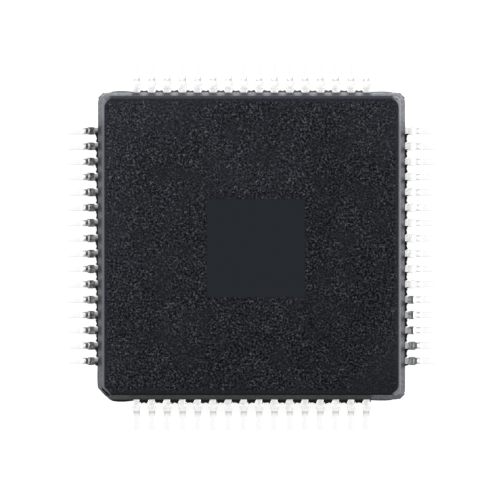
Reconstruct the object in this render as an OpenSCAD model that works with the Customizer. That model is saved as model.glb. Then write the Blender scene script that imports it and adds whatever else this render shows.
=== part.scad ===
// A 64-lead low-profile quad flat package: a microcontroller chip.
// A black moulded body, 10 mm square, holds a silicon die on a copper lead frame.
// Sixteen gull-wing leads leave each side at 0.5 mm pitch and stand on the board.
// Millimetres. Origin: middle of the foot plane. +X right, +Y back, +Z up.

/* [Body] */
// Side of the square body, at the parting line
body_side = 10; // [9.6:0.1:12]
// Thickness of the body, top face to underside
body_thick = 1.4; // [1.2:0.05:1.6]
// Gap between the underside of the body and the board
standoff = 0.1; // [0.05:0.01:0.15]
// Draft of the moulded sides, from vertical
draft_angle = 12; // [8:1:15]
// Chamfer that breaks the edges of the top face and the underside
edge_break = 0.06; // [0.02:0.01:0.08]
// Radius of the corners, at the parting line
corner_r = 0.33; // [0.3:0.01:0.5]
// Depth of the flat across the gate corner, front left, below the round of the other corners
gate_flat = 0.13; // [0.1:0.01:0.16]

/* [Top face] */
// Side of the smooth square where the marking goes
field_side = 3.2; // [2:0.1:5]
// Depth of the smooth square below the textured face
field_depth = 0.01; // [0.005:0.005:0.03]
// Middle of the smooth square, to the right of the body's middle
field_x = 0.14; // [-1:0.01:1]
// Middle of the smooth square, behind the body's middle
field_y = -0.07; // [-1:0.01:1]

/* [Mould marks] */
// Length of the slot that the broken gate leaves in the front left corner
gate_slot_length = 0.33; // [0.2:0.01:0.4]
// Width of the gate slot
gate_slot_width = 0.06; // [0.04:0.01:0.08]
// Depth of the gate slot below the top face
gate_slot_depth = 0.55; // [0.45:0.05:0.6]
// Distance of the gate slot from the flat of the gate corner
gate_slot_inset = 0.06; // [0.05:0.01:0.08]
// Diameter of the two ejector marks on the underside
ejector_d = 1.2; // [0.8:0.1:1.6]
// Depth of the ejector marks
ejector_depth = 0.03; // [0.01:0.01:0.05]
// Distance of the ejector marks from the middle, along X and Y
ejector_offset = 3; // [2:0.1:3.5]

/* [Resin webs between the leads] */
// How far the webs stand out on the left side
web_left = 0.07; // [0.04:0.01:0.09]
// How far the webs stand out on the right side
web_right = 0.08; // [0.04:0.01:0.09]
// How far the webs stand out on the front side
web_front = 0.13; // [0.1:0.01:0.14]
// How far the webs stand out on the back side
web_back = 0.08; // [0.04:0.01:0.09]
// Depth of the hollow in each web's broken edge
web_hollow = 0.03; // [0.01:0.01:0.03]
// Gap between a web's outer corners and the lead's wide part
web_gap = 0.02; // [0.01:0.01:0.03]

/* [Outer leads] */
// Leads on each side
leads_per_side = 16; // [12:1:16]
// Distance between neighbouring leads
lead_pitch = 0.5; // [0.45:0.01:0.52]
// Thickness of the lead frame sheet
lead_thick = 0.127; // [0.1:0.001:0.15]
// Width of a lead at the body and at its foot
lead_width = 0.2; // [0.17:0.01:0.22]
// Width where the tie bar between the leads was cut away
stub_width = 0.27; // [0.24:0.01:0.3]
// Where the wide part starts, from the body
stub_start = 0.14; // [0.12:0.01:0.15]
// Length of the wide part
stub_length = 0.17; // [0.1:0.01:0.2]
// Length of the tapers at both ends of the wide part
stub_taper = 0.03; // [0.02:0.01:0.05]
// Reach of a lead, from the body to its toe
lead_reach = 1; // [0.95:0.05:1.2]
// Flat shoulder between the body and the upper bend
shoulder = 0.2; // [0.1:0.01:0.25]
// Inside radius of the upper bend
upper_bend_r = 0.08; // [0.05:0.01:0.12]
// Inside radius of the heel bend
heel_bend_r = 0.12; // [0.08:0.01:0.15]
// Slope of the shank between the bends, from horizontal
shank_angle = 80; // [70:1:85]

/* [Inner leads and die pad] */
// Pitch of the finger tips inside the body
tip_pitch = 0.33; // [0.28:0.01:0.34]
// Width of a finger tip
tip_width = 0.16; // [0.12:0.01:0.2]
// Length of the straight finger tip
tip_length = 0.3; // [0.2:0.05:0.4]
// Length of the straight lead root inside the body
root_length = 0.4; // [0.2:0.05:0.6]
// Side of the square die pad
pad_side = 5; // [4.4:0.1:5.2]
// Gap between the die pad and the finger tips, seen from above
pad_gap = 0.3; // [0.2:0.05:0.4]
// How far the die pad is pressed down below the leads
pad_drop = 0.25; // [0.2:0.01:0.3]
// Width of the four tie bars that carry the die pad
tie_width = 0.25; // [0.15:0.01:0.3]
// Length of the slope where a tie bar steps down to the pad
tie_slope = 0.3; // [0.2:0.05:0.4]
// Flat length of a tie bar at pad height, from the pad's corner
tie_low = 0.15; // [0.1:0.05:0.2]
// How far the cut end of a tie bar stands out of the corner
tie_stub = 0.01; // [0.005:0.005:0.04]

/* [Die] */
// Side of the square silicon die
die_side = 3.6; // [3.4:0.1:4.2]
// Thickness of the die
die_thick = 0.28; // [0.2:0.01:0.3]
// Thickness of the adhesive under the die
attach_thick = 0.02; // [0.01:0.01:0.04]
// How far the adhesive spreads past the die
attach_spread = 0.1; // [0.05:0.01:0.2]
// Pitch of the bond pads along the die's edge
bond_pitch = 0.2; // [0.16:0.01:0.21]
// Side of a square bond pad
bond_side = 0.09; // [0.08:0.01:0.1]
// Height of a bond pad above the die
bond_rise = 0.01; // [0.005:0.005:0.02]
// Distance of the bond pads' middles from the die's edge
bond_inset = 0.1; // [0.08:0.01:0.15]

/* [Bond wires] */
// Diameter of the gold wire
wire_d = 0.026; // [0.02:0.001:0.03]
// Diameter of the ball on the bond pad
ball_d = 0.07; // [0.06:0.005:0.08]
// Height of the ball on the bond pad
ball_h = 0.02; // [0.015:0.005:0.03]
// Height of the loop above the ball
loop_h = 0.15; // [0.1:0.01:0.2]
// Length of the flat stitch on the finger
stitch_length = 0.07; // [0.05:0.01:0.1]
// Width of the stitch
stitch_width = 0.05; // [0.04:0.01:0.06]
// Height of the stitch
stitch_h = 0.02; // [0.015:0.005:0.025]
// Distance of the stitch's middle from the finger's end
stitch_inset = 0.12; // [0.1:0.01:0.15]
// Resin left between the wire and the finger, where the wire enters the stitch
wire_clear = 0.003; // [0.002:0.001:0.005]

/* [Hidden] */

resin = [0.16, 0.165, 0.185];
tin = [0.72, 0.71, 0.69];
copper = [0.78, 0.5, 0.34];
silver_glue = [0.62, 0.62, 0.6];
silicon = [0.36, 0.38, 0.45];
gold = [0.9, 0.74, 0.36];

// Turn of each side about +Z from the right-hand side, whose leads point along +X
right_turn = 0;
back_turn = 90;
left_turn = 180;
front_turn = 270;

// Heights, from the board up
half_side = body_side / 2;
body_low = standoff;
body_top = standoff + body_thick;
frame_low = standoff + (body_thick - lead_thick) / 2;
frame_top = frame_low + lead_thick;
pad_low = frame_low - pad_drop;
pad_top = pad_low + lead_thick;
die_low = pad_top + attach_thick;
die_top = die_low + die_thick;
bond_top = die_top + bond_rise;

// Distance from the middle to the round corners and to the flat of the gate corner, at the parting line
straight_half = half_side - corner_r;
corner_reach = straight_half * sqrt(2) + corner_r;
gate_reach = corner_reach - gate_flat;
uncut = body_side;

// Fineness of round corners and bends, and sides of the round wire and ball
round_fn = 72;
wire_sides = 6;
ball_sides = 8;

// Far enough to cut right through
past = body_thick / 2;

function row(i, pitch) = (i - (leads_per_side - 1) / 2) * pitch;

function mirrored(points) = [
    for (k = [len(points) - 1 : -1 : 0]) [-points[k][0], points[k][1]]
];

// Rounds a length to a hundredth of a micrometre, so that straight sides and round corners meet exactly
function to_grid(length) = round(length * 100000) / 100000;

// Section of the moulded body out to one side that is this far from the middle
function side_section(reach) = let (
    lean = tan(draft_angle),
    low = reach - to_grid((frame_low - body_low) * lean),
    high = reach - to_grid((body_top - frame_top) * lean),
    edge_lean = to_grid(edge_break * lean)
) [
    [low - edge_break, body_low],
    [low + edge_lean, body_low + edge_break],
    [reach, frame_low],
    [reach, frame_top],
    [high + edge_lean, body_top - edge_break],
    [high - edge_break, body_top]
];

module slab(reach_minus, reach_plus, length) {
    rotate([90, 0, 0])
        linear_extrude(height = length, center = true)
            polygon(concat(side_section(reach_plus), mirrored(side_section(reach_minus))));
}

module round_corner(turn) {
    rotate([0, 0, turn])
        translate([straight_half, straight_half, 0])
            rotate_extrude(angle = 90, $fn = round_fn)
                polygon(concat([[0, body_low]], side_section(corner_r), [[0, body_top]]));
}

// The solid that the mould fills: drafted both ways from the lead frame, with round corners
// and a flat across the corner where the resin came in
module moulded_block() {
    intersection() {
        union() {
            slab(half_side, half_side, 2 * straight_half);
            rotate([0, 0, 90]) slab(half_side, half_side, 2 * straight_half);
            for (turn = [right_turn, back_turn, left_turn, front_turn]) round_corner(turn);
        }
        rotate([0, 0, 45]) slab(gate_reach, uncut, 2 * body_side);
    }
}

// Resin webs that filled the frame out to the cut tie bar, one between each two leads
module web_row(turn, depth) {
    root = (lead_pitch - lead_width) / 2;
    rim = (lead_pitch - stub_width) / 2 - web_gap;
    rotate([0, 0, turn])
        for (i = [0 : leads_per_side - 2])
            translate([half_side, row(i + 0.5, lead_pitch), frame_low])
                linear_extrude(height = lead_thick)
                    polygon([
                        [-root, -root], [0, -root],
                        [depth * (1 - 0.15 * sin(140 * i)), -rim],
                        [depth - web_hollow, -rim / 3 * sin(80 * i)],
                        [depth * (1 + 0.08 * sin(200 * i)), rim],
                        [0, root], [-root, root]
                    ]);
}

// Slot in the gate corner, square to the diagonal
module gate_slot() {
    rotate([0, 0, 45])
        translate([gate_slot_width / 2 - gate_reach + gate_slot_inset, 0, body_top - gate_slot_depth + past])
            cube([gate_slot_width, gate_slot_length, 2 * past], center = true);
}

module marking_field() {
    translate([field_x, field_y, body_top - field_depth + past])
        cube([field_side, field_side, 2 * past], center = true);
}

module ejector_marks() {
    for (s = [-1, 1])
        translate([s * ejector_offset, -s * ejector_offset, body_low - past])
            cylinder(d = ejector_d, h = past + ejector_depth, $fn = 48);
}

// Body of black epoxy, moulded round the frame, the die and the wires
module package_body() {
    color(resin)
        difference() {
            union() {
                moulded_block();
                web_row(left_turn, web_left);
                web_row(right_turn, web_right);
                web_row(front_turn, web_front);
                web_row(back_turn, web_back);
            }
            gate_slot();
            marking_field();
            ejector_marks();
            for (turn = [right_turn, back_turn, left_turn, front_turn]) {
                lead_seats(turn);
                wire_row(turn, lead_thick / 2, bond_rise / 2);
            }
            pad_and_ties();
            attach_layer(lead_thick / 2);
            die_solid(attach_thick / 2);
        }
}

// Outline of one lead from above, from the finger tip out to the distance asked for
tip_s = pad_side / 2 + pad_gap - half_side;
stub_end = stub_start + stub_length;

function lead_edge(i, side) = [
    [tip_s, row(i, tip_pitch) + side * tip_width / 2],
    [tip_s + tip_length, row(i, tip_pitch) + side * tip_width / 2],
    [-root_length, row(i, lead_pitch) + side * lead_width / 2]
];

function outer_edge(i, side) = [
    [stub_start - stub_taper, row(i, lead_pitch) + side * lead_width / 2],
    [stub_start, row(i, lead_pitch) + side * stub_width / 2],
    [stub_end, row(i, lead_pitch) + side * stub_width / 2],
    [stub_end + stub_taper, row(i, lead_pitch) + side * lead_width / 2],
    [lead_reach, row(i, lead_pitch) + side * lead_width / 2]
];

function reversed(points) = [for (k = [len(points) - 1 : -1 : 0]) points[k]];

// Side view of the formed lead: flat in the body, shoulder, shank, heel and foot
mid_upper_r = upper_bend_r + lead_thick / 2;
mid_heel_r = heel_bend_r + lead_thick / 2;
drop = frame_low;
bend_drop = (mid_upper_r + mid_heel_r) * (1 - cos(shank_angle));
shank_length = (drop - bend_drop) / sin(shank_angle);
heel_x = shoulder + (mid_upper_r + mid_heel_r) * sin(shank_angle) + shank_length * cos(shank_angle);
upper_y = frame_low - upper_bend_r;
heel_y = lead_thick + heel_bend_r;

// Share of each bend's radius at which the shank's straight faces run in, so that they cross the round
run_in = 0.9994;

// All that lies under a surface this high in the bent sheet: 0 is its lower face, lead_thick its upper face
module under_sheet(height) {
    upper_r = upper_bend_r + height;
    heel_r = heel_bend_r + lead_thick - height;
    lean = run_in * [sin(shank_angle), cos(shank_angle)];
    difference() {
        union() {
            polygon([
                [tip_s - past, -past],
                [tip_s - past, frame_low + height],
                [shoulder, frame_low + height],
                [shoulder, upper_y] + upper_r * lean,
                [heel_x, heel_y] - heel_r * lean,
                [heel_x, height],
                [lead_reach + past, height],
                [lead_reach + past, -past]
            ]);
            translate([shoulder, upper_y]) circle(r = upper_r, $fn = round_fn);
        }
        translate([heel_x, heel_y]) circle(r = heel_r, $fn = round_fn);
    }
}

module lead_side_view() {
    difference() {
        under_sheet(lead_thick);
        under_sheet(0);
    }
}

module lead(i) {
    intersection() {
        rotate([90, 0, 0])
            linear_extrude(height = 2 * body_side, center = true)
                lead_side_view();
        translate([0, 0, -past])
            linear_extrude(height = body_top + 2 * past)
                polygon(concat(
                    lead_edge(i, -1), outer_edge(i, -1),
                    reversed(outer_edge(i, 1)), reversed(lead_edge(i, 1))
                ));
    }
}

module lead_row(turn) {
    rotate([0, 0, turn])
        translate([half_side, 0, 0])
            for (i = [0 : leads_per_side - 1]) lead(i);
}

// Room that the leads take up in the body
module lead_seats(turn) {
    out = stub_start - stub_taper;
    rotate([0, 0, turn])
        translate([half_side, 0, frame_low])
            for (i = [0 : leads_per_side - 1])
                linear_extrude(height = lead_thick)
                    polygon(concat(
                        lead_edge(i, -1),
                        [[out, row(i, lead_pitch) - lead_width / 2]],
                        [[out, row(i, lead_pitch) + lead_width / 2]],
                        reversed(lead_edge(i, 1))
                    ));
}

module leads_left() {
    color(tin) lead_row(left_turn);
}

module leads_right() {
    color(tin) lead_row(right_turn);
}

module leads_front() {
    color(tin) lead_row(front_turn);
}

module leads_back() {
    color(tin) lead_row(back_turn);
}

// Side view of a tie bar along the diagonal, stepping down from the frame to the pad
module tie_bar(turn, reach) {
    low_end = pad_side / sqrt(2) + tie_low;
    high_end = low_end + tie_slope;
    inside = pad_side / sqrt(2) - tie_width;
    rotate([0, 0, turn])
        rotate([90, 0, 0])
            linear_extrude(height = tie_width, center = true)
                polygon([
                    [inside, pad_low], [low_end, pad_low],
                    [high_end, frame_low], [reach + tie_stub, frame_low],
                    [reach + tie_stub, frame_top], [high_end, frame_top],
                    [low_end, pad_top], [inside, pad_top]
                ]);
}

module pad_and_ties() {
    translate([-pad_side / 2, -pad_side / 2, pad_low])
        cube([pad_side, pad_side, lead_thick]);
    tie_bar(45, corner_reach);
    tie_bar(135, corner_reach);
    tie_bar(225, gate_reach);
    tie_bar(315, corner_reach);
}

// Die pad and its four tie bars, stamped from the same sheet as the leads
module die_pad() {
    color(copper) pad_and_ties();
}

// The room in the body for each of these reaches down a little, into the one below it
module attach_layer(sink = 0) {
    side = die_side + 2 * attach_spread;
    translate([-side / 2, -side / 2, pad_top - sink])
        cube([side, side, attach_thick + sink]);
}

// Silver-filled adhesive that holds the die on its pad
module die_attach() {
    color(silver_glue) attach_layer();
}

module die_solid(sink = 0) {
    translate([-die_side / 2, -die_side / 2, die_low - sink])
        cube([die_side, die_side, die_thick + sink]);
    for (turn = [right_turn, back_turn, left_turn, front_turn])
        rotate([0, 0, turn])
            for (i = [0 : leads_per_side - 1])
                translate([die_side / 2 - bond_inset, row(i, bond_pitch), die_top])
                    cube([bond_side, bond_side, 2 * bond_rise], center = true);
}

// Silicon die with a row of bond pads along each edge
module silicon_die() {
    color(silicon) die_solid();
}

// One ring of a wire: a hexagon round a point, square to a direction in the wire's plane
function ring(p, along, across) = let (
    up = cross(along, across)
) [
    for (k = [0 : wire_sides - 1])
        let (a = 360 * k / wire_sides)
            p + wire_d / 2 * (cos(a) * across + sin(a) * up)
];

// The wire rises from its ball, turns over, and runs down to the finger.
// Its room in the body also reaches into the finger and the bond pad.
module wire(i, finger_sink, pad_sink) {
    ball = [die_side / 2 - bond_inset, row(i, bond_pitch), bond_top + ball_h];
    finger = [pad_side / 2 + pad_gap + stitch_inset, row(i, tip_pitch), frame_top + wire_d / 2 + wire_clear];
    level = [finger[0] - ball[0], finger[1] - ball[1], 0];
    run = norm(level);
    out = level / run;
    across = [-out[1], out[0], 0];
    up = [0, 0, 1];
    neck = ball + up * loop_h * 0.6;
    crest = ball + up * loop_h + out * loop_h * 0.5;
    knee = crest + out * run * 0.3;
    down = (finger - knee) / norm(finger - knee);
    rings = concat(
        ring(ball - up * ball_h / 2, up, across),
        ring(neck, (up * 2 + out) / sqrt(5), across),
        ring(crest, (out * 2 + up) / sqrt(5), across),
        ring(knee, (out + down) / norm(out + down), across),
        ring(finger, down, across)
    );
    last = len(rings) / wire_sides - 1;
    sleeves = [
        for (r = [0 : last - 1]) for (k = [0 : wire_sides - 1])
            let (a = r * wire_sides + k, b = r * wire_sides + (k + 1) % wire_sides)
                [a, a + wire_sides, b + wire_sides, b]
    ];
    start_cap = [for (k = [0 : wire_sides - 1]) k];
    end_cap = [for (k = [wire_sides - 1 : -1 : 0]) last * wire_sides + k];
    polyhedron(points = rings, faces = concat(sleeves, [start_cap, end_cap]));
    translate([ball[0], ball[1], bond_top - pad_sink])
        cylinder(d = ball_d, h = ball_h + pad_sink, $fn = ball_sides);
    translate([finger[0], finger[1], frame_top - finger_sink])
        rotate([0, 0, atan2(out[1], out[0])])
            translate([-stitch_length / 2, -stitch_width / 2, 0])
                cube([stitch_length, stitch_width, stitch_h + finger_sink]);
}

module wire_row(turn, finger_sink = 0, pad_sink = 0) {
    rotate([0, 0, turn])
        for (i = [0 : leads_per_side - 1]) wire(i, finger_sink, pad_sink);
}

module bond_wires_left() {
    color(gold) wire_row(left_turn);
}

module bond_wires_right() {
    color(gold) wire_row(right_turn);
}

module bond_wires_front() {
    color(gold) wire_row(front_turn);
}

module bond_wires_back() {
    color(gold) wire_row(back_turn);
}

package_body();
die_pad();
die_attach();
silicon_die();
leads_left();
leads_right();
leads_front();
leads_back();
bond_wires_left();
bond_wires_right();
bond_wires_front();
bond_wires_back();
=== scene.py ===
from math import atan2, cos, pi, radians, sin
from random import Random

import bpy
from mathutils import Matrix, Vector


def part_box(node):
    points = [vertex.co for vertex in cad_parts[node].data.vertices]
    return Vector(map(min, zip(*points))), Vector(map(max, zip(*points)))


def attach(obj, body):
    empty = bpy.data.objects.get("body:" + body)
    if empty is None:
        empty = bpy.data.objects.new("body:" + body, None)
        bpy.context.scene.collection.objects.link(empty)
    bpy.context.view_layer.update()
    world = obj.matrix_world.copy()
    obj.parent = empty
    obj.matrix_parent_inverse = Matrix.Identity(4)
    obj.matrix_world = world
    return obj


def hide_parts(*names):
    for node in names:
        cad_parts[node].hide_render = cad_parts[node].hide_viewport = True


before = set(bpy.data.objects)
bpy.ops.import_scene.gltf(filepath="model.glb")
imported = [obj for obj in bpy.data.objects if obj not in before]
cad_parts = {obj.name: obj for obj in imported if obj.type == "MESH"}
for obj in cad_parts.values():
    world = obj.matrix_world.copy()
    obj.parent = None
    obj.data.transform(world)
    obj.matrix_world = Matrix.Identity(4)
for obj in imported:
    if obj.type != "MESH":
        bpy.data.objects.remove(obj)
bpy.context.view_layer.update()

bpy.context.scene.view_settings.view_transform = "Standard"


# Moulded body.
# Black epoxy, pressed round the lead frame in a spark-eroded mould: the top face takes the grain
# of the mould, the drafted sides come out smoother, and the square for the marking is bare.
mm = 0.001
body_half = 5.0
lead_pitch = 0.5
top_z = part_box("package_body")[1].z / mm
bottom_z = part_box("package_body")[0].z / mm
top_skin = 0.012
underside_skin = 0.1
underside_half = 4.8
ejector_floor = 0.01
square_half = 1.6
square_at = (0.14, -0.07)
border_straight = 4.5
grain_fades = (0.13, 0.23)
rim_starts = (0.27, 0.294)
front_right_fades = (6.9, 8.3)
row_ends = (3.95, 4.05)
edge_at_back = 0.06
edge_elsewhere = 0.03
broken_from = 5.004
parting_dark = (4.945, 4.985)
right_lean = 0.12
right_lift = 0.06
streak_share = 0.2


def new_material(name):
    material = bpy.data.materials.new(name)
    material.use_nodes = True
    return material, material.node_tree


def feed(tree, socket, value):
    """Links the socket to another node's output, or sets it where the value is a plain one."""
    if isinstance(value, bpy.types.NodeSocket):
        tree.links.new(value, socket)
    else:
        socket.default_value = value


def add(tree, kind, **inputs):
    """A shader node, with its settings and inputs by name, or its inputs by number as i0, i1, ..."""
    node = tree.nodes.new(kind)
    for name, value in inputs.items():
        if hasattr(node, name):
            setattr(node, name, value)
        elif name[1:].isdigit():
            feed(tree, node.inputs[int(name[1:])], value)
        else:
            feed(tree, node.inputs[name.replace("_", " ")], value)
    return node


def set_finish(tree, **inputs):
    """Gives the material's own shader these inputs, by name."""
    shader = tree.nodes["Principled BSDF"]
    for name, value in inputs.items():
        feed(tree, shader.inputs[name.replace("_", " ")], value)


def math(tree, operation, *values):
    return add(tree, "ShaderNodeMath", operation=operation,
               **{f"i{k}": value for k, value in enumerate(values)}).outputs[0]


def product(tree, share, *others):
    for other in others:
        share = math(tree, "MULTIPLY", share, other)
    return share


def without(tree, share):
    return math(tree, "SUBTRACT", 1.0, share)


def near(tree, value, middle, reach):
    return math(tree, "LESS_THAN", math(tree, "ABSOLUTE", math(tree, "SUBTRACT", value, middle)), reach)


def ramp(tree, value, low, high, at_low=0.0, at_high=1.0):
    """The value's stretch from low to high, turned into the stretch from at_low to at_high."""
    return add(tree, "ShaderNodeMapRange", interpolation_type="SMOOTHSTEP", Value=value, From_Min=low,
               From_Max=high, To_Min=at_low, To_Max=at_high).outputs["Result"]


def blend(tree, share, one, other):
    """The one colour where the share is 0, and the other where it is 1."""
    return add(tree, "ShaderNodeMix", data_type="RGBA", i0=share, i6=one, i7=other).outputs[2]


def scaled(tree, colour, share):
    return add(tree, "ShaderNodeVectorMath", operation="SCALE", i0=colour, Scale=share).outputs["Vector"]


def distance(tree, one_way, other_way):
    """The straight distance of a point that lies this far one way and this far square to it."""
    offset = add(tree, "ShaderNodeCombineXYZ", X=one_way, Y=other_way).outputs[0]
    return add(tree, "ShaderNodeVectorMath", operation="LENGTH", i0=offset).outputs["Value"]


def noise(tree, place, scale, detail, **settings):
    return add(tree, "ShaderNodeTexNoise", Vector=place, Scale=scale, Detail=detail,
               **settings).outputs["Fac"]


def bump(tree, height, depth, strength):
    return add(tree, "ShaderNodeBump", Strength=strength, Distance=depth * mm,
               Height=height).outputs["Normal"]


def place_in_mm(tree):
    return scaled(tree, add(tree, "ShaderNodeTexCoord").outputs["Object"], 1 / mm)


def parts_of(tree, vector):
    return add(tree, "ShaderNodeSeparateXYZ", Vector=vector).outputs


def row_way(tree, on_side, axes):
    """The part along the row of leads: Y on the left and right sides, X at the front and back."""
    return add(tree, "ShaderNodeMix", data_type="FLOAT", i0=on_side, i2=axes["X"],
               i3=axes["Y"]).outputs[0]


resin, tree = new_material("spark_grained_resin")
place = place_in_mm(tree)
axes = parts_of(tree, place)
out_x = math(tree, "ABSOLUTE", axes["X"])
out_y = math(tree, "ABSOLUTE", axes["Y"])
from_middle = math(tree, "MAXIMUM", out_x, out_y)

# The grain covers the flat faces. The square and the ejector marks underneath are smooth, and the
# border of the top face and its front right corner are smoother than the rest.
on_top = math(tree, "GREATER_THAN", axes["Z"], top_z - top_skin)
underneath = product(tree, math(tree, "LESS_THAN", axes["Z"], bottom_z + underside_skin),
                     math(tree, "LESS_THAN", from_middle, underside_half))
flat = math(tree, "MAXIMUM", on_top, underneath)
in_square = product(tree, near(tree, axes["X"], square_at[0], square_half),
                    near(tree, axes["Y"], square_at[1], square_half), on_top)
in_mark = product(tree, underneath, math(tree, "GREATER_THAN", axes["Z"], bottom_z + ejector_floor))
smooth = math(tree, "MAXIMUM", in_square, in_mark)
past_x = math(tree, "MAXIMUM", math(tree, "SUBTRACT", out_x, border_straight), 0.0)
past_y = math(tree, "MAXIMUM", math(tree, "SUBTRACT", out_y, border_straight), 0.0)
past_straight = distance(tree, past_x, past_y)
to_front_right = math(tree, "SUBTRACT", axes["X"], axes["Y"])
smoother = math(tree, "MAXIMUM", ramp(tree, past_straight, *grain_fades, 0.0, 0.7),
                ramp(tree, to_front_right, *front_right_fades, 0.0, 0.55))
grain_share = product(tree, flat, without(tree, smooth), without(tree, smoother))
worms = noise(tree, place, scale=14.7, detail=1.5, Roughness=0.5, Distortion=0.35)
crests = ramp(tree, worms, 0.4, 0.645)
glints = ramp(tree, noise(tree, place, scale=15.8, detail=0.0), 0.61, 0.79)
patches = noise(tree, place, scale=1.5, detail=1.0)
# The grain's tone is painted shade in its pits, painted light on its crests and painted glints on its
# specks.
shaded_pit_tone = (0.0016, 0.0018, 0.0034, 1)
lit_crest_tone = (0.0448, 0.0475, 0.0602, 1)
painted_glint_tone = (0.174, 0.181, 0.206, 1)
patch_tone = (0.0195, 0.0207, 0.0268, 1)
tone = blend(tree, crests, shaded_pit_tone, lit_crest_tone)
tone = blend(tree, product(tree, glints, 0.62), tone, painted_glint_tone)
tone = blend(tree, ramp(tree, patches, 0.46, 0.66, 0.0, 0.47), tone, patch_tone)

# The face has painted light: a little lighter to the back and the left, along its side edges and in its
# corners, apart from the front right one, with a bluish painted sheen where it is lightest. It is also
# clouded. Its smooth border has painted shade at the front.
lighter_corners = (4.0, 6.0)
lighter_sides = (3.9, 4.65)
front_border = (-4.6, -3.6)
clouds = noise(tree, place, scale=0.6, detail=2.0, Roughness=0.5)
painted_light_and_clouds = math(tree, "MULTIPLY_ADD", axes["Y"], 0.038, 0.8)
painted_light_and_clouds = math(tree, "MULTIPLY_ADD", axes["X"], -0.023, painted_light_and_clouds)
for more in (ramp(tree, distance(tree, axes["X"], axes["Y"]), *lighter_corners, 0.0, 0.17),
             ramp(tree, out_x, *lighter_sides, 0.0, 0.1),
             ramp(tree, to_front_right, *front_right_fades, 0.0, -0.15),
             ramp(tree, clouds, 0.3, 0.7, -0.11, 0.09)):
    painted_light_and_clouds = math(tree, "ADD", painted_light_and_clouds, more)
painted_sheen_tone = (0.97, 1.0, 1.18)
painted_sheen = scaled(tree, painted_sheen_tone, product(tree, math(tree, "SUBTRACT", painted_light_and_clouds, 0.7), 0.01))
tone = scaled(tree, tone, math(tree, "MULTIPLY_ADD", painted_light_and_clouds, 0.5, 0.34))
tone = add(tree, "ShaderNodeVectorMath", operation="ADD", i0=tone, i1=painted_sheen).outputs["Vector"]
smooth_in_painted_shade = (0.0125, 0.0142, 0.017, 1)
smooth_behind = (0.018, 0.0205, 0.025, 1)
square_tone = (0.0163, 0.0192, 0.0243, 1)
smooth_tone = blend(tree, ramp(tree, axes["Y"], *front_border), smooth_in_painted_shade, smooth_behind)
tone = blend(tree, math(tree, "MAXIMUM", grain_share, product(tree, worms, 0.3)), smooth_tone, tone)
tone = blend(tree, smooth, tone, square_tone)

# The drafts have painted shade and painted reflection of the tin of the leads, so a draft is darker
# beside a lead than between two leads. Each side has its own painted brightness: lightest at the back,
# then the right, then the left, darkest at the front but lighter past the ends of the front row.
# Fine streaks run up the drafts. At the right the pattern leans to one side.
beside_lead = (0.06, 0.21)
draft_foot = (0.2, 0.7)
draft_top = (1.26, 1.5)
front_row_left = (-4.1, -3.9)
front_row_right = (3.85, 4.0)
back_darkens = (0.9, 1.44)
foot_shade = (0.2, 0.75)
on_side = math(tree, "GREATER_THAN", out_x, out_y)
at_back = math(tree, "GREATER_THAN", axes["Y"], 0.0)
at_left = math(tree, "LESS_THAN", axes["X"], 0.0)
at_right = product(tree, on_side, without(tree, at_left))
streak_stretch = (1, 1, 0.5)
drawn_out = add(tree, "ShaderNodeVectorMath", operation="MULTIPLY", i0=place, i1=streak_stretch)
streaks = noise(tree, drawn_out.outputs["Vector"], scale=11.0, detail=1.0)
along_row = row_way(tree, on_side, axes)
past_row = ramp(tree, math(tree, "ABSOLUTE", along_row), *row_ends)
off_lead = math(tree, "ADD", along_row, lead_pitch / 2)
off_lead = math(tree, "MULTIPLY_ADD", at_right, right_lean, off_lead)
off_lead = math(tree, "PINGPONG", off_lead, lead_pitch / 2)
off_lead = math(tree, "MULTIPLY_ADD", at_right, right_lift, off_lead)
off_lead = math(tree, "MULTIPLY_ADD", math(tree, "SUBTRACT", streaks, 0.5), streak_share, off_lead)
between = math(tree, "MAXIMUM", ramp(tree, off_lead, *beside_lead), past_row)
between = math(tree, "MAXIMUM", between, ramp(tree, axes["Z"], *draft_top, 0.0, 0.6))
between = math(tree, "MAXIMUM", between, ramp(tree, axes["Z"], *draft_foot, 0.8, 0.0))


def by_side(share, front, back, left, right):
    """The tone of the front or back, and where the share is 1 the tone of the left or right."""
    return blend(tree, share, blend(tree, at_back, front, back), blend(tree, at_left, right, left))


front_draft = blend(tree, between, (0.05, 0.05, 0.052, 1), (0.062, 0.062, 0.067, 1))
front_draft = blend(tree, ramp(tree, axes["X"], *front_row_right), front_draft,
                    (0.16, 0.16, 0.175, 1))
front_draft = blend(tree, ramp(tree, axes["X"], *front_row_left, 1.0, 0.0), front_draft,
                    (0.086, 0.086, 0.093, 1))
back_draft = blend(tree, between, (0.088, 0.092, 0.104, 1), (0.34, 0.352, 0.38, 1))
# Painted light on the back draft: lighter low down and darker towards its top edge.
back_draft = scaled(tree, back_draft, ramp(tree, axes["Z"], *back_darkens, 1.2, 0.65))
left_draft = blend(tree, between, (0.048, 0.052, 0.06, 1), (0.15, 0.157, 0.173, 1))
right_draft = blend(tree, between, (0.06, 0.062, 0.071, 1), (0.235, 0.24, 0.262, 1))
draft_tone = by_side(on_side, front_draft, back_draft, left_draft, right_draft)
# The streaks vary the tone, and painted shade darkens the sides low down, below the leads.
draft_tone = scaled(tree, draft_tone, product(tree, ramp(tree, streaks, 0.3, 0.7, 1.22, 0.8),
                                              ramp(tree, axes["Z"], *foot_shade, 0.55, 1.0)))

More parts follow.
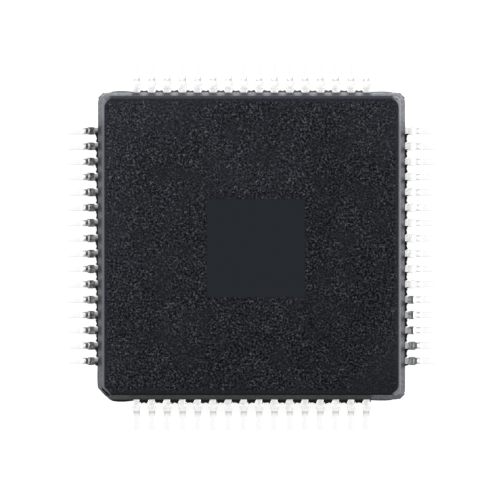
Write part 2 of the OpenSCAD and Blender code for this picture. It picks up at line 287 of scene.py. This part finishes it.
# The broken edge round the top face, and the rim of the face beside it, have a painted highlight at
# the left and right and round the corners, and painted shade at the back and, darker still, at the
# front. The left and right sides have painted light at their back ends, and a darker line runs along
# the parting line at the right.
corner_starts = (4.54, 4.68)
lit_from = (3.8, 4.3)
right_rim = (4.6, 4.8)
front_edge_tone = (0.008, 0.0083, 0.0095, 1)
to_corner = math(tree, "MINIMUM", out_x, out_y)
round_corner = math(tree, "MAXIMUM", on_side, ramp(tree, to_corner, *corner_starts))
painted_edge_light = by_side(round_corner, front_edge_tone, (0.055, 0.058, 0.075, 1),
                    (0.2, 0.21, 0.235, 1), (0.36, 0.37, 0.405, 1))
painted_rim_light = by_side(round_corner, front_edge_tone, (0.045, 0.048, 0.06, 1),
                   (0.15, 0.156, 0.175, 1), (0.2, 0.205, 0.23, 1))
lit_end = product(tree, on_side, ramp(tree, axes["Y"], *lit_from))
lit_end = math(tree, "MULTIPLY_ADD", lit_end, 0.47, 1.0)
parting = product(tree, at_right, ramp(tree, from_middle, *parting_dark),
                  ramp(tree, past_row, 0.0, 1.0, -0.5, -0.3))
draft_tone = scaled(tree, draft_tone, math(tree, "ADD", parting, lit_end))
painted_edge_light = scaled(tree, painted_edge_light, lit_end)
painted_rim_light = scaled(tree, painted_rim_light, lit_end)
not_at_back = math(tree, "MAXIMUM", on_side, without(tree, at_back))
edge_from = math(tree, "MULTIPLY_ADD", not_at_back, edge_at_back - edge_elsewhere, top_z - edge_at_back)
at_edge = math(tree, "GREATER_THAN", axes["Z"], edge_from)
on_rim = math(tree, "MAXIMUM", ramp(tree, past_straight, *rim_starts),
              ramp(tree, axes["X"], *right_rim, 0.0, 0.03))
tone = blend(tree, product(tree, on_top, on_rim), tone, painted_rim_light)
tone = blend(tree, without(tree, flat), tone, blend(tree, at_edge, draft_tone, painted_edge_light))

# The broken ends of the resin between the leads are nearly black, and painted light makes them grey at
# the back.
front_side = (-5.0, -4.9)
back_side = (4.9, 5.0)
web_tone = blend(tree, ramp(tree, axes["Y"], *front_side), (0.018, 0.018, 0.019, 1),
                 (0.009, 0.009, 0.01, 1))
painted_lit_back_web = blend(tree, past_row, (0.11, 0.114, 0.122, 1), (0.075, 0.078, 0.086, 1))
web_tone = blend(tree, ramp(tree, axes["Y"], *back_side), web_tone, painted_lit_back_web)
tone = blend(tree, math(tree, "GREATER_THAN", from_middle, broken_from), tone, web_tone)
relief = math(tree, "ADD", crests, product(tree, glints, 0.5))
relief = product(tree, relief, math(tree, "ADD", 0.08, product(tree, grain_share, 0.92)))
set_finish(tree, Base_Color=tone, Roughness=ramp(tree, flat, 0.0, 1.0, 0.75, 0.52),
           Specular_IOR_Level=0.06, Normal=bump(tree, relief, depth=0.02, strength=1.0))


def dress(node, material):
    """Gives a CAD node's own solid this material in place of its plain one."""
    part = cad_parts[node]
    part.data.materials.clear()
    part.data.materials.append(material)


dress("package_body", resin)


# Leads.
# Sixteen on each side, punched from a copper alloy sheet, bent to gull wings, and tin plated.
# The wide part at the shoulder is what was left when the bar that tied them together was cut away.
leads_per_side = 16
sheet = 0.127
sheet_middle = 0.8
lead_width = 0.2
stub_width = 0.27
stub_at = 0.14
stub_taper = 0.03
shoulder = 0.2
upper_r = 0.08 + sheet / 2
heel_r = 0.12 + sheet / 2
slope = radians(80)
bend_steps = 8
reach = 1.0
tip_pitch = 0.33
tip_width = 0.16
tip_length = 0.3
fan_length = 1.5
tip_x = 2.8
edge_rounding = 0.014
wear_along = 0.008
wear_across = 0.012
shank = (sheet_middle - sheet / 2 - (upper_r + heel_r) * (1 - cos(slope))) / sin(slope)
shoulder_x = body_half + shoulder
heel_x = shoulder_x + (upper_r + heel_r) * sin(slope) + shank * cos(slope)
upper_centre = (shoulder_x * mm, 0, (sheet_middle - upper_r) * mm)
heel_centre = (heel_x * mm, 0, (sheet / 2 + heel_r) * mm)


def start_strip(place, turn, size):
    """The end of a new strip at this place in millimetres, selected and ready to be drawn out."""
    middle = [way * mm for way in place]
    bpy.ops.object.select_all(action="DESELECT")
    bpy.ops.mesh.primitive_plane_add(size=1, location=middle, rotation=turn)
    strip = bpy.context.object
    bpy.ops.object.transform_apply(location=True, rotation=True, scale=True)
    bpy.ops.object.mode_set(mode="EDIT")
    bpy.ops.mesh.select_mode(type="FACE")
    bpy.ops.mesh.select_all(action="SELECT")
    bpy.ops.transform.resize(value=size, center_override=middle)
    return strip


def pull(x=0.0, y=0.0, z=0.0):
    """Draws the selected end of the strip out by this much."""
    bpy.ops.mesh.extrude_region_move(TRANSFORM_OT_translate={"value": (x * mm, y * mm, z * mm)})


def widen(share):
    bpy.ops.transform.resize(value=(1, share, 1), center_override=(0, 0, 0))


def pick(test):
    """Selects the points of the active mesh whose place in millimetres passes the test."""
    bpy.ops.object.mode_set(mode="OBJECT")
    mesh = bpy.context.object.data
    for part in (*mesh.polygons, *mesh.edges):
        part.select = False
    for point in mesh.vertices:
        point.select = test(point.co / mm)
    bpy.ops.object.mode_set(mode="EDIT")


def take(*objects):
    bpy.ops.object.select_all(action="DESELECT")
    for thing in objects:
        thing.select_set(True)
    bpy.context.view_layer.objects.active = objects[-1]


def copy_of(pattern):
    take(pattern)
    bpy.ops.object.duplicate()
    return bpy.context.object


def round_edges(strip, width):
    bpy.ops.object.mode_set(mode="OBJECT")
    take(strip)
    edges = strip.modifiers.new("rounded_edges", "BEVEL")
    edges.width = width * mm
    edges.segments = 2
    edges.angle_limit = radians(30)
    bpy.ops.object.modifier_apply(modifier="rounded_edges")
    bpy.ops.object.shade_smooth_by_angle(angle=radians(50))


def join_row(pieces, name, turn, material):
    """Joins the pieces, made for the right-hand side, and turns the row to its own side."""
    take(*pieces)
    bpy.ops.object.transform_apply(location=True, rotation=True, scale=True)
    bpy.ops.object.join()
    row = bpy.context.object
    row.name = name
    row.rotation_euler.z = radians(turn)
    bpy.ops.object.transform_apply(location=True, rotation=True, scale=True)
    row.data.materials.append(material)
    return row


pattern = start_strip((tip_x, 0, sheet_middle), (0, pi / 2, 0), (1, tip_width * mm, sheet * mm))
pull(tip_length)
pull(fan_length)
widen(lead_width / tip_width)
pull(body_half + stub_at - stub_taper - tip_x - tip_length - fan_length)
pull(stub_taper)
widen(stub_width / lead_width)
pull(shoulder - stub_at)
bpy.ops.mesh.spin(steps=bend_steps, angle=-slope, center=upper_centre, axis=(0, 1, 0))
pull(shank * cos(slope), z=-shank * sin(slope))
bpy.ops.mesh.spin(steps=bend_steps, angle=slope, center=heel_centre, axis=(0, 1, 0))
pull(body_half + reach - heel_x)
bpy.ops.mesh.select_mode(type="VERT")
pick(lambda point: atan2(point.x - shoulder_x, point.z - sheet_middle + upper_r) > radians(45))
widen(lead_width / stub_width)
round_edges(pattern, edge_rounding)

tin, tree = new_material("tin_plate")
place = place_in_mm(tree)
axes = parts_of(tree, place)
facing = parts_of(tree, add(tree, "ShaderNodeTexCoord").outputs["Normal"])
out_x = math(tree, "ABSOLUTE", axes["X"])
out_from_body = math(tree, "SUBTRACT", math(tree, "MAXIMUM", out_x, math(tree, "ABSOLUTE", axes["Y"])),
                     body_half)
blotch = noise(tree, place, scale=11.0, detail=3.0, Roughness=0.6)
plating = noise(tree, place, scale=45.0, detail=2.0, Roughness=0.6)
on_side = math(tree, "GREATER_THAN", out_x, body_half)
along_row = row_way(tree, on_side, axes)
sideways = math(tree, "SUBTRACT", math(tree, "FLOORED_MODULO", along_row, lead_pitch), lead_pitch / 2)
off_axis = math(tree, "ABSOLUTE", sideways)

# The stubs at the left, and on the last five leads at the right, are stained and have painted shade.
last_right = product(tree, math(tree, "GREATER_THAN", axes["X"], 0.0),
                     math(tree, "LESS_THAN", axes["Y"], -3 * lead_pitch))
stain_and_shade_rows = product(tree, math(tree, "MAXIMUM", math(tree, "LESS_THAN", axes["X"], 0.0), last_right),
                      on_side)

# Clean tin, brighter beyond the stub, with painted shade where it turns down, darker higher up.
past_stub = (0.3, 0.34)
bend_height = (0.3, 0.65)
steep = ramp(tree, math(tree, "ABSOLUTE", facing["Z"]), 0.15, 0.6, 1.0, 0.0)
fresh = blend(tree, ramp(tree, blotch, 0.35, 0.65), (0.8, 0.795, 0.79, 1), (0.95, 0.95, 0.94, 1))
shiny = blend(tree, plating, (0.9, 0.9, 0.89, 1), (0.97, 0.97, 0.96, 1))
fresh = blend(tree, ramp(tree, out_from_body, *past_stub), fresh, shiny)
painted_shade_turning_down = blend(tree, ramp(tree, axes["Z"], *bend_height), (0.9, 0.9, 0.895, 1),
                  (0.56, 0.56, 0.555, 1))
fresh = blend(tree, steep, fresh, painted_shade_turning_down)

# At the left: a neck with painted shadow along its front edge and painted light along its back one,
# a mottled stub with dark edges, a painted highlight across its bend, and a painted dark reflection on
# its end, which is a little wider or narrower on each lead.
stub_darkens = (0.12, 0.25)
neck_painted_shadow = (-0.06, 0.07)
neck_ends = (0.06, 0.13)
stub_edge = (0.095, 0.13)
painted_bend_highlight_from = (0.265, 0.3)
stain_and_shade_ends = (0.4, 0.44)
spot_at = 0.37
spot_half_length = 0.048
spot_half_width = (0.06, 0.1)
painted_reflection_tone = (0.032, 0.031, 0.03, 1)
stain_and_shade = blend(tree, ramp(tree, blotch, 0.36, 0.64), (0.065, 0.063, 0.062, 1), (0.27, 0.264, 0.262, 1))
stain_and_shade = scaled(tree, stain_and_shade, ramp(tree, out_from_body, *stub_darkens, 1.1, 0.5))
neck = blend(tree, ramp(tree, sideways, *neck_painted_shadow), (0.03, 0.03, 0.032, 1), (0.44, 0.44, 0.455, 1))
stain_and_shade = blend(tree, ramp(tree, out_from_body, *neck_ends), neck, stain_and_shade)
stain_and_shade = blend(tree, ramp(tree, off_axis, *stub_edge), stain_and_shade, (0.03, 0.028, 0.027, 1))
stain_and_shade = blend(tree, ramp(tree, out_from_body, *painted_bend_highlight_from), stain_and_shade, (0.27, 0.267, 0.264, 1))
stain_and_shade = blend(tree, ramp(tree, out_from_body, *stain_and_shade_ends), stain_and_shade, shiny)
lead_number = math(tree, "FLOOR", math(tree, "DIVIDE", along_row, lead_pitch))
chance = add(tree, "ShaderNodeTexWhiteNoise", noise_dimensions="1D", W=lead_number).outputs["Value"]
spot_along = math(tree, "DIVIDE", math(tree, "SUBTRACT", out_from_body, spot_at), spot_half_length)
spot_across = math(tree, "DIVIDE", off_axis, ramp(tree, chance, 0.0, 1.0, *spot_half_width))
in_painted_reflection = ramp(tree, distance(tree, spot_along, spot_across), 0.6, 1.25, 1.0, 0.0)
stain_and_shade = blend(tree, in_painted_reflection, stain_and_shade, painted_reflection_tone)

# At the right: a light neck, then a stub of stain and painted shade that is dark further out and
# darkest at its end. The stain and shade end later on the last two leads.
last_two_end = (-3.05, -2.95)
stain_and_shade_lengths = (0.42, 0.235)
light_neck_ends = (0.05, 0.12)
dark_from = (0.17, 0.23)
darkest_from = (-0.04, -0.01)
clean_from = (0.02, 0.07)
stain_and_shade_end = ramp(tree, along_row, *last_two_end, *stain_and_shade_lengths)
past_stain_and_shade = math(tree, "SUBTRACT", out_from_body, stain_and_shade_end)
patchy = blend(tree, ramp(tree, blotch, 0.36, 0.64), (0.15, 0.15, 0.152, 1), (0.42, 0.42, 0.425, 1))
patchy = blend(tree, ramp(tree, out_from_body, *light_neck_ends), (0.5, 0.5, 0.515, 1), patchy)
patchy = blend(tree, ramp(tree, out_from_body, *dark_from), patchy, (0.13, 0.13, 0.13, 1))
patchy = blend(tree, ramp(tree, past_stain_and_shade, *darkest_from), patchy, (0.09, 0.09, 0.088, 1))
patchy = blend(tree, ramp(tree, past_stain_and_shade, *clean_from), patchy, shiny)
stain_and_shade = blend(tree, last_right, stain_and_shade, patchy)

# Where a lead of the stained rows turns down it has painted shade, darker higher up, and lighter on the
# last five at the right. The sheared edges are darker all round, and the cut at the toe shows some of
# the copper.
painted_shade_height = (0.25, 0.75)
bend_starts = (0.38, 0.41)
cut_from = 0.994
painted_shade_turned_down = blend(tree, ramp(tree, axes["Z"], *painted_shade_height), (0.62, 0.615, 0.61, 1),
                    (0.16, 0.155, 0.152, 1))
painted_shade_turned_down = blend(tree, last_right, painted_shade_turned_down, (0.66, 0.66, 0.655, 1))
past_bend_start = ramp(tree, out_from_body, *bend_starts)
stain_and_shade = blend(tree, product(tree, steep, past_bend_start), stain_and_shade, painted_shade_turned_down)
tone = blend(tree, stain_and_shade_rows, fresh, stain_and_shade)
sheared = ramp(tree, math(tree, "ABSOLUTE", row_way(tree, on_side, facing)), 0.6, 0.85)
tone = blend(tree, sheared, tone, blend(tree, plating, (0.3, 0.295, 0.29, 1), (0.52, 0.515, 0.51, 1)))
cut = math(tree, "GREATER_THAN", out_from_body, cut_from)
tone = blend(tree, product(tree, cut, ramp(tree, blotch, 0.35, 0.5)), tone, (0.62, 0.36, 0.25, 1))
set_finish(tree, Base_Color=tone, Metallic=1.0, Roughness=ramp(tree, plating, 0.3, 0.7, 0.26, 0.4),
           Normal=bump(tree, math(tree, "ADD", plating, blotch), depth=0.004, strength=0.6))

wear = Random(64)
finger_end = tip_x + tip_length + 0.1
stub_end = body_half + 0.35
beyond_lead = 0.107
for side, turn in (("right", 0), ("back", 90), ("left", 180), ("front", 270)):
    leads = []
    for number in range(leads_per_side):
        from_centre = number - (leads_per_side - 1) / 2
        lead = copy_of(pattern)
        bpy.ops.object.mode_set(mode="EDIT")
        pick(lambda point: point.x < finger_end)
        bpy.ops.transform.translate(value=(0, from_centre * (tip_pitch - lead_pitch) * mm, 0))
        for edge in (-1, 1):
            pick(lambda point: point.x < stub_end and edge * point.y > beyond_lead)
            bpy.ops.transform.translate(value=(wear.uniform(-wear_along, wear_along) * mm,
                                               edge * wear.uniform(-wear_across, 0.0) * mm, 0))
        bpy.ops.object.mode_set(mode="OBJECT")
        lead.location.y = from_centre * lead_pitch * mm
        leads.append(lead)
    row = join_row(leads, f"formed_leads_{side}", turn, tin)
    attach(row, "root")
    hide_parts(f"leads_{side}")
bpy.data.objects.remove(pattern)


# Resin flash.
# Resin that ran out along the lead frame and broke away with the bar between the leads. A thin
# corner of it stays against one edge of most leads, and a thin web past the ends of most rows.
flash_thick = 0.1
flash_root = 0.03
flash_rounding = 0.008
corner_width = 0.065
corner_lap = 0.004
corner_steps = ((0.08, 0.85), (0.045, 0.7), (0.03, 0.6))
corner_thins = 0.95
corner_reach_varies = (0.8, 1.0)
corner_width_varies = (0.7, 1.15)
end_web_from = 3.846
end_web_steps = ((0.1, 0.75), (0.2, 1.0), (0.2, 1.0), (0.17, 0.7), (0.09, 0.1))
root_x = body_half - flash_root
breaking = Random(5)


def end_web(end, out):
    """The web past the last lead at the back end, 1, or the front end, -1, of the right-hand row."""
    depth = flash_root + out / 2
    web = start_strip((root_x + depth / 2, end * end_web_from, sheet_middle), (pi / 2, 0, 0),
                      (depth * mm, 1, flash_thick * mm))
    for step, share in end_web_steps:
        pull(y=end * step)
        wanted = flash_root + share * out
        bpy.ops.transform.resize(value=(wanted / depth, 1, 1),
                                 center_override=(root_x * mm, 0, sheet_middle * mm))
        depth = wanted
    bpy.ops.mesh.select_all(action="SELECT")
    bpy.ops.mesh.normals_make_consistent(inside=False)
    round_edges(web, flash_rounding)
    return web


def lead_corners(edge):
    """The corners of resin against the back edge, 1, or the front edge, -1, of each right-hand lead."""
    lead_edge = edge * (lead_width / 2 - corner_lap)
    pattern = start_strip((root_x, 0, sheet_middle), (0, pi / 2, 0),
                          (1, corner_width * mm, flash_thick * mm))
    bpy.ops.transform.translate(value=(0, (lead_edge + edge * corner_width / 2) * mm, 0))
    for step, share in corner_steps:
        pull(step)
        bpy.ops.transform.resize(value=(1, share, corner_thins),
                                 center_override=(0, lead_edge * mm, sheet_middle * mm))
    round_edges(pattern, flash_rounding)
    corners = []
    for number in range(leads_per_side):
        corner = copy_of(pattern)
        bpy.ops.object.mode_set(mode="EDIT")
        bpy.ops.mesh.select_all(action="SELECT")
        bpy.ops.transform.resize(value=(breaking.uniform(*corner_reach_varies),
                                        breaking.uniform(*corner_width_varies), 1),
                                 center_override=(root_x * mm, lead_edge * mm, 0))
        bpy.ops.object.mode_set(mode="OBJECT")
        corner.location.y = (number - (leads_per_side - 1) / 2) * lead_pitch * mm
        corners.append(corner)
    bpy.data.objects.remove(pattern)
    return corners


for side, turn, edge, ends in (("right", 0, -1, ()), ("left", 180, 1, ((1, 0.02),)),
                               ("front", 270, 1, ((-1, 0.075), (1, 0.035))),
                               ("back", 90, 0, ((1, 0.045), (-1, 0.03)))):
    pieces = [end_web(end, out) for end, out in ends]
    if edge:
        pieces += lead_corners(edge)
    flash = join_row(pieces, f"resin_flash_{side}", turn, resin)
    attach(flash, "root")


# Die pad with its tie bars.
# Stamped from the same sheet as the leads and sunk below them, so that the die sits in the
# middle of the resin. Only the cut ends of the tie bars show, at the corners, dull and dark.
tie_end_from = 9.5
copper, tree = new_material("frame_copper")
place = place_in_mm(tree)
axes = parts_of(tree, place)
rolling = noise(tree, place, scale=14.0, detail=3.0, Roughness=0.6)
along_tie = math(tree, "ADD", math(tree, "ABSOLUTE", axes["X"]), math(tree, "ABSOLUTE", axes["Y"]))
clean = blend(tree, rolling, (0.62, 0.35, 0.23, 1), (0.8, 0.5, 0.36, 1))
tone = blend(tree, math(tree, "GREATER_THAN", along_tie, tie_end_from), clean, (0.05, 0.048, 0.047, 1))
set_finish(tree, Base_Color=tone, Metallic=1.0, Roughness=ramp(tree, rolling, 0.3, 0.7, 0.3, 0.45),
           Normal=bump(tree, rolling, depth=0.003, strength=0.4))
dress("die_pad", copper)


# Adhesive.
# A thin cured layer of epoxy full of silver flakes, pressed out a little round the die.
adhesive, tree = new_material("silver_adhesive")
flakes = add(tree, "ShaderNodeTexVoronoi", Vector=place_in_mm(tree), Scale=40.0).outputs["Distance"]
set_finish(tree, Base_Color=blend(tree, flakes, (0.42, 0.42, 0.41, 1), (0.66, 0.66, 0.64, 1)),
           Metallic=0.6, Roughness=0.5, Normal=bump(tree, flakes, depth=0.002, strength=0.4))
dress("die_attach", adhesive)


# Silicon die.
# Polished silicon, its face patterned by the circuit in fine straight rows.
silicon, tree = new_material("silicon")
blocks = add(tree, "ShaderNodeTexBrick", Vector=place_in_mm(tree), Scale=3.0,
             Color1=(0.1, 0.12, 0.17, 1), Color2=(0.16, 0.15, 0.2, 1),
             Mortar=(0.05, 0.06, 0.08, 1)).outputs["Color"]
set_finish(tree, Base_Color=blocks, Metallic=0.7, Roughness=0.18)
dress("silicon_die", silicon)


# Bond wires.
# Drawn gold, one from each bond pad to the finger of its lead.
gold, tree = new_material("gold_wire")
drawn = noise(tree, place_in_mm(tree), scale=60.0, detail=1.0)
set_finish(tree, Base_Color=blend(tree, drawn, (0.9, 0.62, 0.22, 1), (1.0, 0.78, 0.36, 1)),
           Metallic=1.0, Roughness=0.22)
for side in ("left", "right", "front", "back"):
    dress(f"bond_wires_{side}", gold)


# Table.
# A white sheet under the chip. It shows white to the camera and in reflections, and keeps the
# chip's soft shadow.
table_size = 1.6
seen_glow = 0.82
mirrored_glow = 0.45
bpy.ops.object.select_all(action="DESELECT")
bpy.ops.mesh.primitive_plane_add(size=table_size)
table = bpy.context.object
table.name = "table"
white, tree = new_material("white_sheet")
tree.nodes.clear()
path = add(tree, "ShaderNodeLightPath").outputs
mirrored = math(tree, "MAXIMUM", path["Is Glossy Ray"], path["Is Transmission Ray"])
glow_share = math(tree, "MULTIPLY_ADD", path["Is Camera Ray"], seen_glow,
                  product(tree, mirrored, mirrored_glow))
paper = add(tree, "ShaderNodeBsdfDiffuse", Color=(0.6, 0.6, 0.6, 1)).outputs[0]
glow = add(tree, "ShaderNodeEmission", Color=(1, 1, 1, 1), Strength=glow_share).outputs[0]
both = add(tree, "ShaderNodeAddShader", i0=paper, i1=glow).outputs[0]
add(tree, "ShaderNodeOutputMaterial", Surface=both)
table.data.materials.append(white)


# Light.
# A white room, a disk lamp at each side, and one at the back that lights the draft and the leads.
room_light = 0.55
room = bpy.data.worlds.new("white_room")
bpy.context.scene.world = room
room.use_nodes = True
tree = room.node_tree
tree.nodes.clear()
path = add(tree, "ShaderNodeLightPath").outputs
air = add(tree, "ShaderNodeBackground", Color=(1, 1, 1, 1), Strength=room_light).outputs[0]
plain = add(tree, "ShaderNodeBackground", Color=(1, 1, 1, 1), Strength=1.0).outputs[0]
seen = math(tree, "MAXIMUM", path["Is Camera Ray"], path["Is Glossy Ray"])
mixed = add(tree, "ShaderNodeMixShader", Fac=seen, i1=air, i2=plain).outputs[0]
add(tree, "ShaderNodeOutputWorld", Surface=mixed)


def lamp(name, place, size, watts):
    """A round lamp at this place in metres, turned to the chip."""
    bpy.ops.object.light_add(type="AREA", location=place)
    light = bpy.context.object
    light.name = name
    light.data.shape = "DISK"
    light.data.size = size
    light.data.energy = watts
    light.rotation_mode = "QUATERNION"
    light.rotation_quaternion = (Vector((0, 0, 0)) - Vector(place)).to_track_quat("-Z", "Y")


lamp("left_lamp", (-0.3, 0.05, 0.25), size=0.12, watts=0.35)
lamp("right_lamp", (0.3, 0.0, 0.25), size=0.12, watts=0.35)
lamp("back_lamp", (-0.08, 0.36, 0.16), size=0.14, watts=0.5)


# Camera.
# It looks straight down, as in the photograph, from far enough to show no sides but the draft.
picture_width = 500
picture_height = 487
body_middle = (251.5, 246.0)
pixels_per_mm = 30.7
camera_height = 250.0
sensor = 36.0
bpy.ops.object.camera_add(location=(
    (picture_width / 2 - body_middle[0]) / pixels_per_mm * mm,
    (body_middle[1] - picture_height / 2) / pixels_per_mm * mm,
    (camera_height + sheet_middle) * mm,
))
camera = bpy.context.object
camera.data.sensor_width = sensor
camera.data.lens = pixels_per_mm * camera_height * sensor / picture_width
camera.data.clip_start = 0.01
bpy.context.scene.camera = camera
